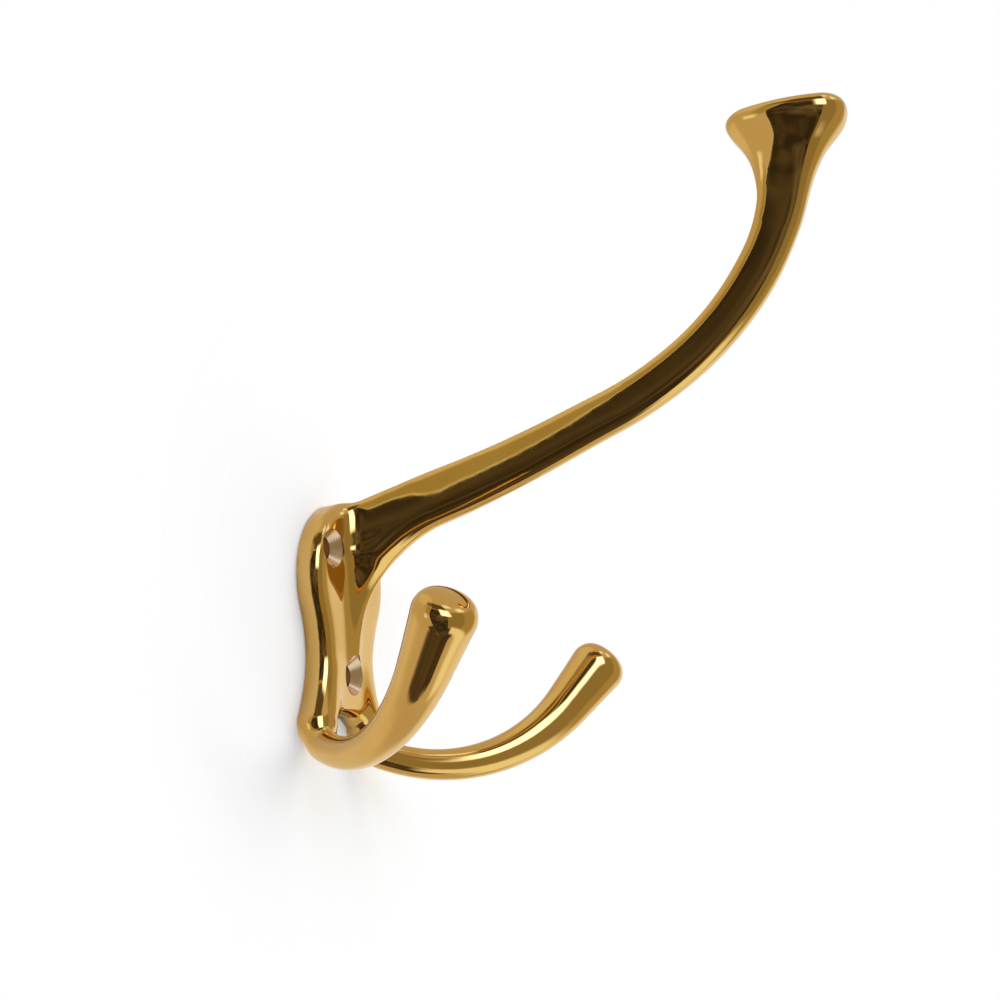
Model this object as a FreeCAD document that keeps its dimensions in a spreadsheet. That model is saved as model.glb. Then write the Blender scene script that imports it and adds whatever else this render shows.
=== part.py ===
"""Double robe hook: one brass casting with a wall plate, a long hat arm and two lower prongs.

Frame: millimetres, +Z up, the wall plate's flat back on y = 0, the hook reaching out towards -Y,
mirror plane x = 0, origin on the back face at the middle of the plate.
"""
import FreeCAD
import Part
import Sketcher

import os
from math import pi, radians, cos, sin, tan, atan2

SIZES = {
    # wall plate
    "plate_thickness": 6.0,
    "arch_radius": 16.6,         # round top of the plate
    "arch_height": 6.0,          # centre of that round above the origin
    "waist_half_width": 11.8,
    "waist_drop": 13.5,          # narrowest place below the origin
    "foot_drop": 25.5,           # where the two legs of the plate end
    "foot_half_width": 14.8,     # out to the side of each leg where it ends
    "leg_width": 5.4,            # across each leg where it ends
    "crotch_drop": 23.4,         # crown of the arch between the legs
    "edge_round": 2.2,
    # screw holes
    "hole_diameter": 4.8,
    "sink_diameter": 9.0,
    "sink_angle": 90.0,
    "upper_hole_inset": 4.43,    # from the round top's edge in to the hole's middle
    "upper_hole_angle": 27.4,    # the hole's direction from the centre of the round top
    "lower_hole_drop": 15.2,
    "tool_clearance": 9.0,       # how far the hole's tool runs on behind and in front
    # hat arm: straight run, then a wide bend up to the head
    "arm_root_height": 15.0,     # arm axis above the origin at the plate's front
    "arm_pitch": 20.5,
    "arm_straight": 63.9,
    "arm_bend_radius": 64.0,
    "arm_bend_turn": 56.0,
    "arm_width": 6.6,
    "arm_root_depth": 11.8,      # across the arm, in the mirror plane, at the end of the root
    "arm_depth": 9.2,            # the same along the bend
    "arm_neck_depth": 10.8,      # the same at the end of the bend
    "arm_corner": 1.9,
    "root_run": 19.5,            # along the axis from the plate to the end of the root
    # root of the arm: a tall blend that fades down the plate as a rib
    "root_embed": 3.2,
    "root_base_width": 12.6,
    "root_face_width": 10.6,
    "root_waist_width": 8.8,
    "root_neck_width": 7.4,
    "root_waist_out": 3.0,       # how far each section stands out from the plate
    "root_neck_out": 8.0,
    "root_face_low": -9.0,       # rib's low end on the plate's front
    "root_waist_low": 0.8,       # underside at the waist and at the neck
    "root_neck_low": 9.6,
    "root_base_top": 20.4,       # the root's top inside the plate, at its front and at the neck
    "root_top": 23.6,
    "root_neck_top": 25.0,
    "root_corner": 2.6,
    # head of the arm: an oval flare with a level top
    "head_length": 24.4,
    "head_width": 16.0,
    "head_corner": 7.8,
    "head_offset": 0.7,          # head centre ahead of the end of the bend
    "head_rise": 18.3,           # head's top above the end of the bend
    "rim_height": 4.6,
    "rim_round": 1.8,
    "flare_height": 5.0,
    "flare_length": 17.6,
    "flare_width": 10.4,
    "flare_corner": 4.6,
    # prongs: down out of the plate's legs, round a heel, then a long sweep up to a ball end
    "prong_out": 12.5,
    "prong_depth": 3.5,          # prong axis in front of the wall
    "prong_start_drop": 13.2,
    "prong_drop": 12.3,
    "prong_spread": 39.7,        # turn of the prong's plane away from straight ahead
    "heel_radius": 5.7,
    "heel_turn": 71.0,
    "sweep_radius": 42.4,
    "sweep_turn": 68.0,
    "prong_tip_run": 8.8,
    "prong_start_out": 9.6,      # where the prong starts inside the plate
    "prong_start_depth": 2.6,
    "prong_start_radius": 1.8,
    "prong_root_radius": 3.35,
    "prong_tip_radius": 6.9,
}

SWEEP_STEPS = 2      # sections along the prong's sweep
BEND_STEPS = 3       # sections along the arm's bend
SAME_PLANE = 1e-5    # how far an edge may lie from a plane and still count as in it


def make_sheet(doc):
    """Put the driving dimensions in a spreadsheet, one named cell a row."""
    sheet = doc.addObject("Spreadsheet::Sheet", "sizes")
    for row, (alias, value) in enumerate(SIZES.items(), start=1):
        sheet.set(f"A{row}", alias.replace("_", " "))
        sheet.set(f"B{row}", str(value))
        sheet.setAlias(f"B{row}", alias)
    doc.recompute()
    return sheet


def origin_plane(body, role):
    """The body's own base plane with the given role."""
    return next(item for item in body.Origin.OriginFeatures if item.Role == role)


def new_sketch(body, name, role, offset=None):
    """A sketch on a base plane of the body, moved by a placement expression if one is given."""
    sketch = body.newObject("Sketcher::SketchObject", name)
    sketch.AttachmentSupport = [(origin_plane(body, role), "")]
    sketch.MapMode = "FlatFace"
    if offset:
        sketch.setExpression("AttachmentOffset", offset)
    return sketch


def bind(sketch, constraint, expression):
    """Add a dimension to the sketch and drive it by an expression on the sheet."""
    index = sketch.addConstraint(constraint)
    sketch.setExpression(f"Constraints[{index}]", expression)


def relate(sketch, *rows):
    """Add geometric constraints, each given as the arguments of one constraint."""
    for row in rows:
        sketch.addConstraint(Sketcher.Constraint(*row))


def vector(x, y):
    """A point of a sketch."""
    return FreeCAD.Vector(x, y, 0)


def arc(centre, radius, start, end):
    """Arc of a circle, counter-clockwise from start to end, angles in radians."""
    circle = Part.Circle(vector(*centre), FreeCAD.Vector(0, 0, 1), radius)
    return Part.ArcOfCircle(circle, start, end)


def plate_outline(body, size):
    """Front outline of the plate: round top, waisted sides, two legs and the arch between them."""
    sketch = new_sketch(body, "plate_outline", "XZ_Plane")
    arch = size["arch_radius"]
    waist = size["waist_half_width"]
    waist_z = -size["waist_drop"]
    fall = size["arch_height"] + size["waist_drop"]
    upper = (waist ** 2 + fall ** 2 - arch ** 2) / (2 * (arch - waist))
    tangent = atan2(fall, waist + upper)
    foot = size["foot_half_width"]
    foot_z = -size["foot_drop"]
    leg_fall = size["foot_drop"] - size["waist_drop"]
    lower = ((foot - waist) ** 2 + leg_fall ** 2) / (2 * (foot - waist))
    leg_turn = atan2(leg_fall, lower - (foot - waist))
    leg_half = size["leg_width"] / 2
    crotch = foot - size["leg_width"]
    crown = size["foot_drop"] - size["crotch_drop"]
    round_in = (crotch ** 2 + crown ** 2) / (2 * crown)
    crotch_turn = atan2(round_in - crown, crotch)

    top, right_upper, right_lower, left_upper, left_lower, right_leg, left_leg, inner = range(8)
    sketch.addGeometry([
        arc((0, size["arch_height"]), arch, -tangent, pi + tangent),
        arc((waist + upper, waist_z), upper, pi - tangent, pi),
        arc((waist + lower, waist_z), lower, pi, pi + leg_turn),
        arc((-waist - upper, waist_z), upper, 0, tangent),
        arc((-waist - lower, waist_z), lower, -leg_turn, 0),
        arc((foot - leg_half, foot_z), leg_half, -pi, 0),
        arc((leg_half - foot, foot_z), leg_half, -pi, 0),
        arc((0, -size["crotch_drop"] - round_in), round_in, crotch_turn, pi - crotch_turn),
    ], False)
    start, end, middle = 1, 2, 3
    x_axis, y_axis = -1, -2
    relate(
        sketch,
        ("PointOnObject", top, middle, y_axis),
        ("Tangent", top, start, right_upper, start),
        ("Tangent", right_upper, end, right_lower, start),
        ("Tangent", top, end, left_upper, end),
        ("Tangent", left_upper, start, left_lower, end),
        ("Symmetric", right_upper, end, left_upper, start, y_axis),
        ("Symmetric", right_lower, end, left_lower, start, y_axis),
        ("Coincident", right_lower, end, right_leg, end),
        ("Coincident", right_leg, start, inner, start),
        ("Coincident", inner, end, left_leg, end),
        ("Coincident", left_leg, start, left_lower, start),
        ("PointOnObject", inner, middle, y_axis),
    )
    crotch_text = "(sizes.foot_half_width - sizes.leg_width)"
    crown_text = "(sizes.foot_drop - sizes.crotch_drop)"
    inner_text = f"({crotch_text} ^ 2 + {crown_text} ^ 2) / (2 * {crown_text})"
    make = Sketcher.Constraint
    bind(sketch, make("Radius", top, arch), "sizes.arch_radius")
    bind(sketch, make("DistanceY", x_axis, start, top, middle, size["arch_height"]), "sizes.arch_height")
    bind(sketch, make("DistanceX", x_axis, start, right_upper, end, waist), "sizes.waist_half_width")
    for geometry, point in ((right_upper, end), (right_upper, middle), (left_upper, middle)):
        bind(sketch, make("DistanceY", geometry, point, x_axis, start, -waist_z), "sizes.waist_drop")
    bind(sketch, make("DistanceX", x_axis, start, right_lower, end, foot), "sizes.foot_half_width")
    for geometry, point in ((right_lower, end), (right_leg, middle), (left_leg, middle), (inner, start),
                            (inner, end)):
        bind(sketch, make("DistanceY", geometry, point, x_axis, start, -foot_z), "sizes.foot_drop")
    bind(sketch, make("DistanceX", x_axis, start, inner, start, crotch), crotch_text)
    bind(sketch, make("Radius", inner, round_in), inner_text)
    return sketch


def rounded_section(body, name, role, offset, width, depth, corner):
    """A rectangle with round corners about its own middle; the three sizes are expressions."""
    sketch = new_sketch(body, name, role, offset)
    half, flat, round_off = 5.0, 3.0, 2.0      # any start will do, the dimensions below set it right
    lines = [((-flat, -half), (flat, -half)), ((half, -flat), (half, flat)),
             ((flat, half), (-flat, half)), ((-half, flat), (-half, -flat))]
    centres = [(flat, -flat), (flat, flat), (-flat, flat), (-flat, -flat)]
    for quarter, ((tail, head), centre) in enumerate(zip(lines, centres)):
        sketch.addGeometry(Part.LineSegment(vector(*tail), vector(*head)), False)
        turn = (quarter - 1) * pi / 2
        sketch.addGeometry(arc(centre, round_off, turn, turn + pi / 2), False)
    sides = 8
    start, end, middle = 1, 2, 3
    for piece in range(sides):
        relate(sketch, ("Tangent", piece, end, (piece + 1) % sides, start))
    relate(
        sketch,
        ("Equal", 1, 3), ("Equal", 1, 5), ("Equal", 1, 7),
        ("Horizontal", 0), ("Vertical", 2), ("Horizontal", 4), ("Vertical", 6),
        ("Symmetric", 1, middle, 5, middle, -1, start),
    )
    make = Sketcher.Constraint
    bind(sketch, make("DistanceX", 7, middle, 1, middle, 2 * flat), f"{width} - 2 * ({corner})")
    bind(sketch, make("DistanceY", 1, middle, 3, middle, 2 * flat), f"{depth} - 2 * ({corner})")
    bind(sketch, make("Radius", 1, round_off), corner)
    return sketch


def round_section(body, name, role, offset, radius):
    """A circle about the sketch's origin with its radius as an expression."""
    sketch = new_sketch(body, name, role, offset)
    start_radius = 3.0
    sketch.addGeometry(Part.Circle(vector(0, 0), FreeCAD.Vector(0, 0, 1), start_radius), False)
    relate(sketch, ("Coincident", 0, 3, -1, 1))
    bind(sketch, Sketcher.Constraint("Radius", 0, start_radius), radius)
    return sketch


def side_placement(forward, height, pitch):
    """Placement of a section on the XZ plane: forward of the wall, up, and square to the pitch."""
    return f"placement(vector(0; {height}; {forward}); rotation(vector(1; 0; 0); -({pitch})))"


def level_placement(forward, height):
    """Placement of a level section on the XY plane, forward of the wall and up."""
    return f"placement(vector(0; -({forward}); {height}); rotation(vector(0; 0; 1); 0))"


def arm_place(run, turn):
    """Forward distance, height and pitch of the arm's axis after a straight run and a turn."""
    start = "sizes.arm_pitch * 1deg"
    pitch = f"(sizes.arm_pitch + {turn})"
    forward = (f"(sizes.plate_thickness + ({run}) * cos({start})"
               f" + sizes.arm_bend_radius * (sin({pitch} * 1deg) - sin({start})))")
    height = (f"(sizes.arm_root_height + ({run}) * sin({start})"
              f" + sizes.arm_bend_radius * (cos({start}) - cos({pitch} * 1deg)))")
    return forward, height, pitch


def root_sections(body):
    """Upright sections of the arm's root, from inside the plate out to the neck."""
    rows = (
        ("base", "-sizes.root_embed", "sizes.root_face_low", "sizes.root_base_top",
         "sizes.root_base_width"),
        ("face", "0", "sizes.root_face_low", "sizes.root_top", "sizes.root_face_width"),
        ("waist", "sizes.root_waist_out", "sizes.root_waist_low", "sizes.root_top",
         "sizes.root_waist_width"),
        ("neck", "sizes.root_neck_out", "sizes.root_neck_low", "sizes.root_neck_top",
         "sizes.root_neck_width"),
    )
    sections = []
    for name, out, low, top, width in rows:
        offset = side_placement(f"sizes.plate_thickness + {out}", f"({top} + {low}) / 2", "0")
        sections.append(rounded_section(body, f"root_{name}", "XZ_Plane", offset, width,
                                        f"({top} - {low})", "sizes.root_corner"))
    return sections


def bar_sections(body):
    """Sections of the arm's bar, square to its axis: the straight run and the bend."""
    stations = [
        ("root_end", "sizes.root_run", "0", "sizes.arm_root_depth"),
        ("middle", "(sizes.root_run + sizes.arm_straight) / 2", "0",
         "(sizes.arm_root_depth + sizes.arm_depth) / 2"),
    ]
    for step in range(BEND_STEPS + 1):
        depth = "sizes.arm_neck_depth" if step == BEND_STEPS else "sizes.arm_depth"
        turn = f"sizes.arm_bend_turn * {step} / {BEND_STEPS}"
        stations.append((f"bend_{step}", "sizes.arm_straight", turn, depth))
    sections = []
    for name, run, turn, depth in stations:
        offset = side_placement(*arm_place(run, turn))
        sections.append(rounded_section(body, f"arm_{name}", "XZ_Plane", offset, "sizes.arm_width",
                                        depth, "sizes.arm_corner"))
    return sections


def head_sections(body):
    """Level sections of the head: the flare, the rim and the crown."""
    forward, height, _ = arm_place("sizes.arm_straight", "sizes.arm_bend_turn")
    centre = f"{forward} + sizes.head_offset"
    crown = f"{height} + sizes.head_rise"
    rows = (
        ("flare", f"{crown} - sizes.rim_height - sizes.flare_height", "sizes.flare_width",
         "sizes.flare_length", "sizes.flare_corner"),
        ("rim", f"{crown} - sizes.rim_height", "sizes.head_width", "sizes.head_length",
         "sizes.head_corner"),
        ("crown", crown, "sizes.head_width", "sizes.head_length", "sizes.head_corner"),
    )
    return [rounded_section(body, f"head_{name}", "XY_Plane", level_placement(centre, level),
                            width, length, corner)
            for name, level, width, length, corner in rows]


def prong_place(sweep, tip, lengthwise=False):
    """Placement on the prong's axis after the heel, a sweep turn and a straight tip run.

    The sketch lies square to the axis, or along it in the prong's own plane if lengthwise.
    """
    heading = f"(sizes.heel_turn + {sweep} - 90)"
    turn_in = "(sizes.heel_turn - 90)"
    reach = ("(sizes.heel_radius * (1 - cos(sizes.heel_turn * 1deg))"
             f" + sizes.sweep_radius * (sin({heading} * 1deg) - sin({turn_in} * 1deg))"
             f" + ({tip}) * cos({heading} * 1deg))")
    height = ("(-sizes.prong_start_drop - sizes.prong_drop"
              " - sizes.heel_radius * sin(sizes.heel_turn * 1deg)"
              f" + sizes.sweep_radius * (cos({turn_in} * 1deg) - cos({heading} * 1deg))"
              f" + ({tip}) * sin({heading} * 1deg))")
    across = f"sizes.prong_out + {reach} * sin(sizes.prong_spread * 1deg)"
    forward = f"-(sizes.prong_depth + {reach} * cos(sizes.prong_spread * 1deg))"
    tilt = f"-{heading}; 90" if lengthwise else f"90 - {heading}; 0"
    return f"placement(vector({across}; {forward}; {height}); rotation(sizes.prong_spread - 90; {tilt}))"


def prong_path(body, size):
    """Axis of one prong in its own upright plane: a drop, a heel, a wide sweep and a straight tip."""
    offset = ("placement(vector(sizes.prong_out; -sizes.prong_depth; -sizes.prong_start_drop);"
              " rotation(sizes.prong_spread - 90; 0; 90))")
    sketch = new_sketch(body, "prong_path", "XY_Plane", offset)
    drop = size["prong_drop"]
    heel_radius = size["heel_radius"]
    sweep_radius = size["sweep_radius"]
    heel_turn = radians(size["heel_turn"])
    into_sweep = heel_turn - pi / 2
    out_of_sweep = into_sweep + radians(size["sweep_turn"])
    heel_centre = (heel_radius, -drop)
    sweep_centre = (heel_radius - heel_radius * cos(heel_turn) - sweep_radius * sin(into_sweep),
                    -drop - heel_radius * sin(heel_turn) + sweep_radius * cos(into_sweep))
    tip_start = (sweep_centre[0] + sweep_radius * sin(out_of_sweep),
                 sweep_centre[1] - sweep_radius * cos(out_of_sweep))
    tip_end = (tip_start[0] + size["prong_tip_run"] * cos(out_of_sweep),
               tip_start[1] + size["prong_tip_run"] * sin(out_of_sweep))
    fall, heel, sweep, tip = range(4)
    sketch.addGeometry([
        Part.LineSegment(vector(0, 0), vector(0, -drop)),
        arc(heel_centre, heel_radius, pi, pi + heel_turn),
        arc(sweep_centre, sweep_radius, into_sweep - pi / 2, out_of_sweep - pi / 2),
        Part.LineSegment(vector(*tip_start), vector(*tip_end)),
    ], False)
    start, end, middle = 1, 2, 3
    relate(
        sketch,
        ("Coincident", fall, start, -1, start),
        ("Vertical", fall),
        ("Tangent", fall, end, heel, start),
        ("Tangent", heel, end, sweep, start),
        ("Tangent", sweep, end, tip, start),
    )
    make = Sketcher.Constraint
    heel_fall = heel_radius * sin(heel_turn)
    sweep_fall = sweep_radius * cos(out_of_sweep)
    bind(sketch, make("DistanceY", fall, end, fall, start, drop), "sizes.prong_drop")
    bind(sketch, make("Radius", heel, heel_radius), "sizes.heel_radius")
    bind(sketch, make("DistanceY", heel, end, heel, middle, heel_fall),
         "sizes.heel_radius * sin(sizes.heel_turn * 1deg)")
    bind(sketch, make("Radius", sweep, sweep_radius), "sizes.sweep_radius")
    bind(sketch, make("DistanceY", sweep, end, sweep, middle, sweep_fall),
         "sizes.sweep_radius * cos((sizes.heel_turn + sizes.sweep_turn - 90) * 1deg)")
    bind(sketch, make("Distance", tip, size["prong_tip_run"]), "sizes.prong_tip_run")
    return sketch


def prong_sections(body):
    """Round sections of one prong; the radius grows with the square of the way from heel to tip."""
    sweep_length = "(sizes.sweep_radius * sizes.sweep_turn * pi / 180)"
    length = f"({sweep_length} + sizes.prong_tip_run)"
    growth = "(sizes.prong_tip_radius - sizes.prong_root_radius)"
    root = "sizes.prong_root_radius"
    down = "rotation(sizes.prong_spread - 90; 180; 0)"
    start = ("placement(vector(sizes.prong_start_out; -sizes.prong_start_depth;"
             f" -sizes.prong_start_drop); {down})")
    foot = ("placement(vector(sizes.prong_out; -sizes.prong_depth;"
            f" -sizes.prong_start_drop - sizes.prong_drop); {down})")
    sections = [
        round_section(body, "prong_start", "XY_Plane", start, "sizes.prong_start_radius"),
        round_section(body, "prong_foot", "XY_Plane", foot, root),
    ]
    for step in range(SWEEP_STEPS + 1):
        share = f"({sweep_length} * {step / SWEEP_STEPS} / {length})"
        place = prong_place(f"(sizes.sweep_turn * {step / SWEEP_STEPS})", "0")
        sections.append(round_section(body, f"prong_sweep_{step}", "XY_Plane", place,
                                      f"{root} + {growth} * {share} ^ 2"))
    place = prong_place("sizes.sweep_turn", "sizes.prong_tip_run")
    sections.append(round_section(body, "prong_tip", "XY_Plane", place, "sizes.prong_tip_radius"))
    return sections


def prong_ball(body, size):
    """Round end of one prong: a half disc turned about the prong's axis."""
    place = prong_place("sizes.sweep_turn", "sizes.prong_tip_run", lengthwise=True)
    sketch = new_sketch(body, "prong_ball_profile", "XY_Plane", place)
    radius = size["prong_tip_radius"]
    sketch.addGeometry([
        arc((0, 0), radius, 0, pi),
        Part.LineSegment(vector(-radius, 0), vector(radius, 0)),
    ], False)
    start, end, middle = 1, 2, 3
    relate(
        sketch,
        ("Coincident", 0, middle, -1, start),
        ("Coincident", 0, end, 1, start),
        ("Coincident", 1, end, 0, start),
        ("PointOnObject", 0, start, -1),
        ("PointOnObject", 0, end, -1),
    )
    bind(sketch, Sketcher.Constraint("Radius", 0, radius), "sizes.prong_tip_radius")
    ball = body.newObject("PartDesign::Revolution", "prong_ball")
    ball.Profile = sketch
    ball.ReferenceAxis = (sketch, ["H_Axis"])
    ball.Angle = 360.0
    return ball


def pipe(body, name, path, sections):
    """Carry the sections along the path as one piece of the body."""
    feature = body.newObject("PartDesign::AdditivePipe", name)
    feature.Profile = sections[0]
    feature.Spine = (path, [])
    feature.Transformation = "Multisection"
    feature.Sections = sections[1:]
    return feature


def loft(body, name, sections):
    """Join the sections into one smooth piece of the body."""
    feature = body.newObject("PartDesign::AdditiveLoft", name)
    feature.Profile = sections[0]
    feature.Sections = sections[1:]
    feature.Ruled = False
    feature.Closed = False
    return feature


def mirror(body, name, features):
    """Repeat the features on the other side of the hook's middle plane."""
    feature = body.newObject("PartDesign::Mirrored", name)
    feature.Originals = features
    feature.MirrorPlane = (origin_plane(body, "YZ_Plane"), [""])
    body.Tip = feature
    return feature


def screw_hole(body, size, name, across, height):
    """Countersunk screw hole square to the wall: a groove turned about the hole's own axis."""
    offset = f"placement(vector({across}; 0; {height}); rotation(vector(0; 0; 1); 0))"
    sketch = new_sketch(body, f"{name}_profile", "XY_Plane", offset)
    radius = size["hole_diameter"] / 2
    sink = size["sink_diameter"] / 2
    clearance = size["tool_clearance"]
    front = -size["plate_thickness"]
    deep = front + (sink - radius) / tan(radians(size["sink_angle"] / 2))
    far = front - clearance
    points = [(0, clearance), (radius, clearance), (radius, deep), (sink, front), (sink, far), (0, far)]
    for tail, head in zip(points, points[1:] + points[:1]):
        sketch.addGeometry(Part.LineSegment(vector(*tail), vector(*head)), False)
    start, end = 1, 2
    count = len(points)
    for piece in range(count):
        relate(sketch, ("Coincident", piece, end, (piece + 1) % count, start))
    back, wall, cone, sleeve, cap, axis = range(count)
    relate(
        sketch,
        ("Horizontal", back), ("Vertical", wall), ("Vertical", sleeve), ("Horizontal", cap),
        ("PointOnObject", axis, start, -2), ("PointOnObject", axis, end, -2),
    )
    make = Sketcher.Constraint
    bind(sketch, make("DistanceY", -1, 1, back, start, clearance), "sizes.tool_clearance")
    bind(sketch, make("DistanceX", -1, 1, wall, start, radius), "sizes.hole_diameter / 2")
    bind(sketch, make("DistanceX", -1, 1, sleeve, start, sink), "sizes.sink_diameter / 2")
    bind(sketch, make("DistanceY", cone, end, -1, 1, -front), "sizes.plate_thickness")
    bind(sketch, make("DistanceY", cone, end, cone, start, deep - front),
         "(sizes.sink_diameter - sizes.hole_diameter) / 2 / tan(sizes.sink_angle * 0.5deg)")
    bind(sketch, make("DistanceY", sleeve, end, sleeve, start, clearance), "sizes.tool_clearance")
    groove = body.newObject("PartDesign::Groove", name)
    groove.Profile = sketch
    groove.ReferenceAxis = (sketch, ["V_Axis"])
    groove.Angle = 360.0
    return groove


def edges_in_plane(shape, axis, level):
    """Names of the edges that lie in the plane where the axis, "Y" or "Z", has the given value."""
    names = []
    for number, edge in enumerate(shape.Edges, start=1):
        ends = (getattr(edge.BoundBox, f"{axis}Min"), getattr(edge.BoundBox, f"{axis}Max"))
        if all(abs(end - level) < SAME_PLANE for end in ends):
            names.append(f"Edge{number}")
    return names


def fillet(body, name, feature, axis, level, radius):
    """Round the feature's edges that lie in one plane; the radius is an expression."""
    rounding = body.newObject("PartDesign::Fillet", name)
    rounding.Base = (feature, edges_in_plane(feature.Shape, axis, level))
    rounding.setExpression("Radius", radius)
    return rounding


def make_hook(doc, size):
    """The whole casting as one body."""
    body = doc.addObject("PartDesign::Body", "hook")
    body.Label = "hook"
    doc.recompute()

    plate = body.newObject("PartDesign::Pad", "plate")
    plate.Profile = plate_outline(body, size)
    plate.setExpression("Length", "sizes.plate_thickness")
    doc.recompute()

    fillet(body, "plate_rounding", plate, "Y", -size["plate_thickness"], "sizes.edge_round")
    doc.recompute()

    prong = pipe(body, "prong", prong_path(body, size), prong_sections(body))
    doc.recompute()
    ball = prong_ball(body, size)
    doc.recompute()
    mirror(body, "other_prong", [prong, ball])
    doc.recompute()

    sections = root_sections(body) + bar_sections(body) + head_sections(body)
    arm = loft(body, "arm", sections)
    doc.recompute()
    crown = sections[-1].Placement.Base.z
    fillet(body, "head_rounding", arm, "Z", crown, "sizes.rim_round")
    doc.recompute()
    return body


def drill(doc, body, size):
    """The three countersunk holes, each checked to have taken metal away."""
    volumes = [body.Shape.Volume]
    screw_hole(body, size, "lower_hole", "0", "-sizes.lower_hole_drop")
    doc.recompute()
    volumes.append(body.Shape.Volume)
    ring = "(sizes.arch_radius - sizes.upper_hole_inset)"
    across = f"{ring} * cos(sizes.upper_hole_angle * 1deg)"
    height = f"sizes.arch_height + {ring} * sin(sizes.upper_hole_angle * 1deg)"
    upper = screw_hole(body, size, "upper_hole", across, height)
    doc.recompute()
    volumes.append(body.Shape.Volume)
    mirror(body, "other_upper_hole", [upper])
    doc.recompute()
    volumes.append(body.Shape.Volume)
    if any(after >= before for before, after in zip(volumes, volumes[1:])):
        raise RuntimeError(f"a screw hole cut nothing: volumes {volumes}")


def check(doc, body):
    """Stop if any object failed to compute or the finished solid is not sound."""
    for item in doc.Objects:
        if "Invalid" in item.State or "Error" in item.State:
            raise RuntimeError(f"{item.Name} failed: {item.State}")
    shape = body.Shape
    if shape.isNull() or not shape.isValid() or len(shape.Solids) != 1:
        raise RuntimeError("the hook is not one sound solid")


def main():
    """Build the hook and write its solid."""
    doc = FreeCAD.newDocument("robe_hook")
    sheet = make_sheet(doc)
    size = {alias: float(sheet.get(alias)) for alias in SIZES}
    body = make_hook(doc, size)
    drill(doc, body, size)
    check(doc, body)
    os.makedirs("parts", exist_ok=True)
    body.Shape.exportStep(f"parts/{body.Label}.step")
    box = body.Shape.BoundBox
    print(f"{body.Label}: volume {body.Shape.Volume:.0f} mm3,"
          f" x {box.XMin:.1f} to {box.XMax:.1f}, y {box.YMin:.1f} to {box.YMax:.1f},"
          f" z {box.ZMin:.1f} to {box.ZMax:.1f}")


main()
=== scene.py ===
"""Double robe hook: the polished brass casting, its light, the wall behind it and the camera.

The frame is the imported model's: +Z up, the wall plate's back on y = 0, the hook reaching out towards -Y,
mirror plane x = 0. The shape's formulas work in millimetres and the finished mesh is in metres.
"""
import logging
import math
from dataclasses import dataclass
from enum import Enum
from typing import Callable

import bmesh
import bpy
import numpy as np
from mathutils import Matrix, Vector


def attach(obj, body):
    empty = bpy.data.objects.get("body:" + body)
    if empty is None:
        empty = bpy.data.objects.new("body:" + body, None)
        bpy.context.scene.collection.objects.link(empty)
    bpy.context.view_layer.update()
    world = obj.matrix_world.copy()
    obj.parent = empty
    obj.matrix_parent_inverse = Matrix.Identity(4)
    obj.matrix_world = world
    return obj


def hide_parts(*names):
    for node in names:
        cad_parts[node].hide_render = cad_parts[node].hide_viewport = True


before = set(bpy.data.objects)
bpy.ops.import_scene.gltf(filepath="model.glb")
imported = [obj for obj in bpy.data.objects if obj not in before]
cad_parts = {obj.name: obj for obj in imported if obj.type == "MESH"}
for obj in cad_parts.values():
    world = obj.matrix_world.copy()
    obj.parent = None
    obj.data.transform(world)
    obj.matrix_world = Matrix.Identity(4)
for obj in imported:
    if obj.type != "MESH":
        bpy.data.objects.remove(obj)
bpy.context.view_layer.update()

Array = np.ndarray
MM = 0.001                     # metres in a millimetre
log = logging.getLogger("robe_hook")


class Side(Enum):
    """The two sides of the hook, seen from the room."""

    LEFT = -1.0
    RIGHT = 1.0


class Surface(Enum):
    """The casting's two finishes, by their place in the mesh's material slots."""

    POLISHED = 0
    MACHINED = 1


def smooth_union(a: Array, b: Array, reach: float) -> Array:
    """Join two solids with a soft fillet.

    Where the two distances differ by less than reach, the smaller one is lowered by a parabola
    that is a quarter of reach deep where they are equal.

    Args:
        a: signed distances to the first solid.
        b: signed distances to the second solid.
        reach: width of the blend in millimetres.

    Returns:
        Signed distances to the joined solid.
    """
    share = np.clip(0.5 + 0.5 * (b - a) / reach, 0.0, 1.0)
    return b + (a - b) * share - reach * share * (1.0 - share)


def rounded_edge(a: Array, b: Array, radius: Array | float) -> Array:
    """Keep what is inside both of two solids, with the edge between them rounded.

    Outside both, the distance is that to a quarter circle of the given radius about the point
    that lies a radius inside each.

    Args:
        a: signed distances to the first solid.
        b: signed distances to the second solid.
        radius: radius of the edge, one number or one for each point.

    Returns:
        Signed distances to the common solid.
    """
    over_a, over_b = a + radius, b + radius
    outside = np.hypot(np.maximum(over_a, 0.0), np.maximum(over_b, 0.0))
    return outside + np.minimum(np.maximum(over_a, over_b), 0.0) - radius


@dataclass(frozen=True)
class Taper:
    """A size that changes along a path: a cubic curve through its knots, level at both ends."""

    at: tuple[float, ...]
    size: tuple[float, ...]

    def __call__(self, s: Array) -> Array:
        """Work out the size along the path.

        Each span is the cubic through its two knots with the slopes of central differences.

        Args:
            s: places along the path.

        Returns:
            The size at each place.
        """
        at, size = np.array(self.at), np.array(self.size)
        slope = np.gradient(size, at)
        slope[[0, -1]] = 0.0
        s = np.clip(s, at[0], at[-1])
        i = np.clip(np.searchsorted(at, s, side="right") - 1, 0, len(at) - 2)
        span = at[i + 1] - at[i]
        t = (s - at[i]) / span
        rise = t * t * (3.0 - 2.0 * t)
        bend = t * (1.0 - t) * span * ((1.0 - t) * slope[i] - t * slope[i + 1])
        return size[i] + (size[i + 1] - size[i]) * rise + bend


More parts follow.
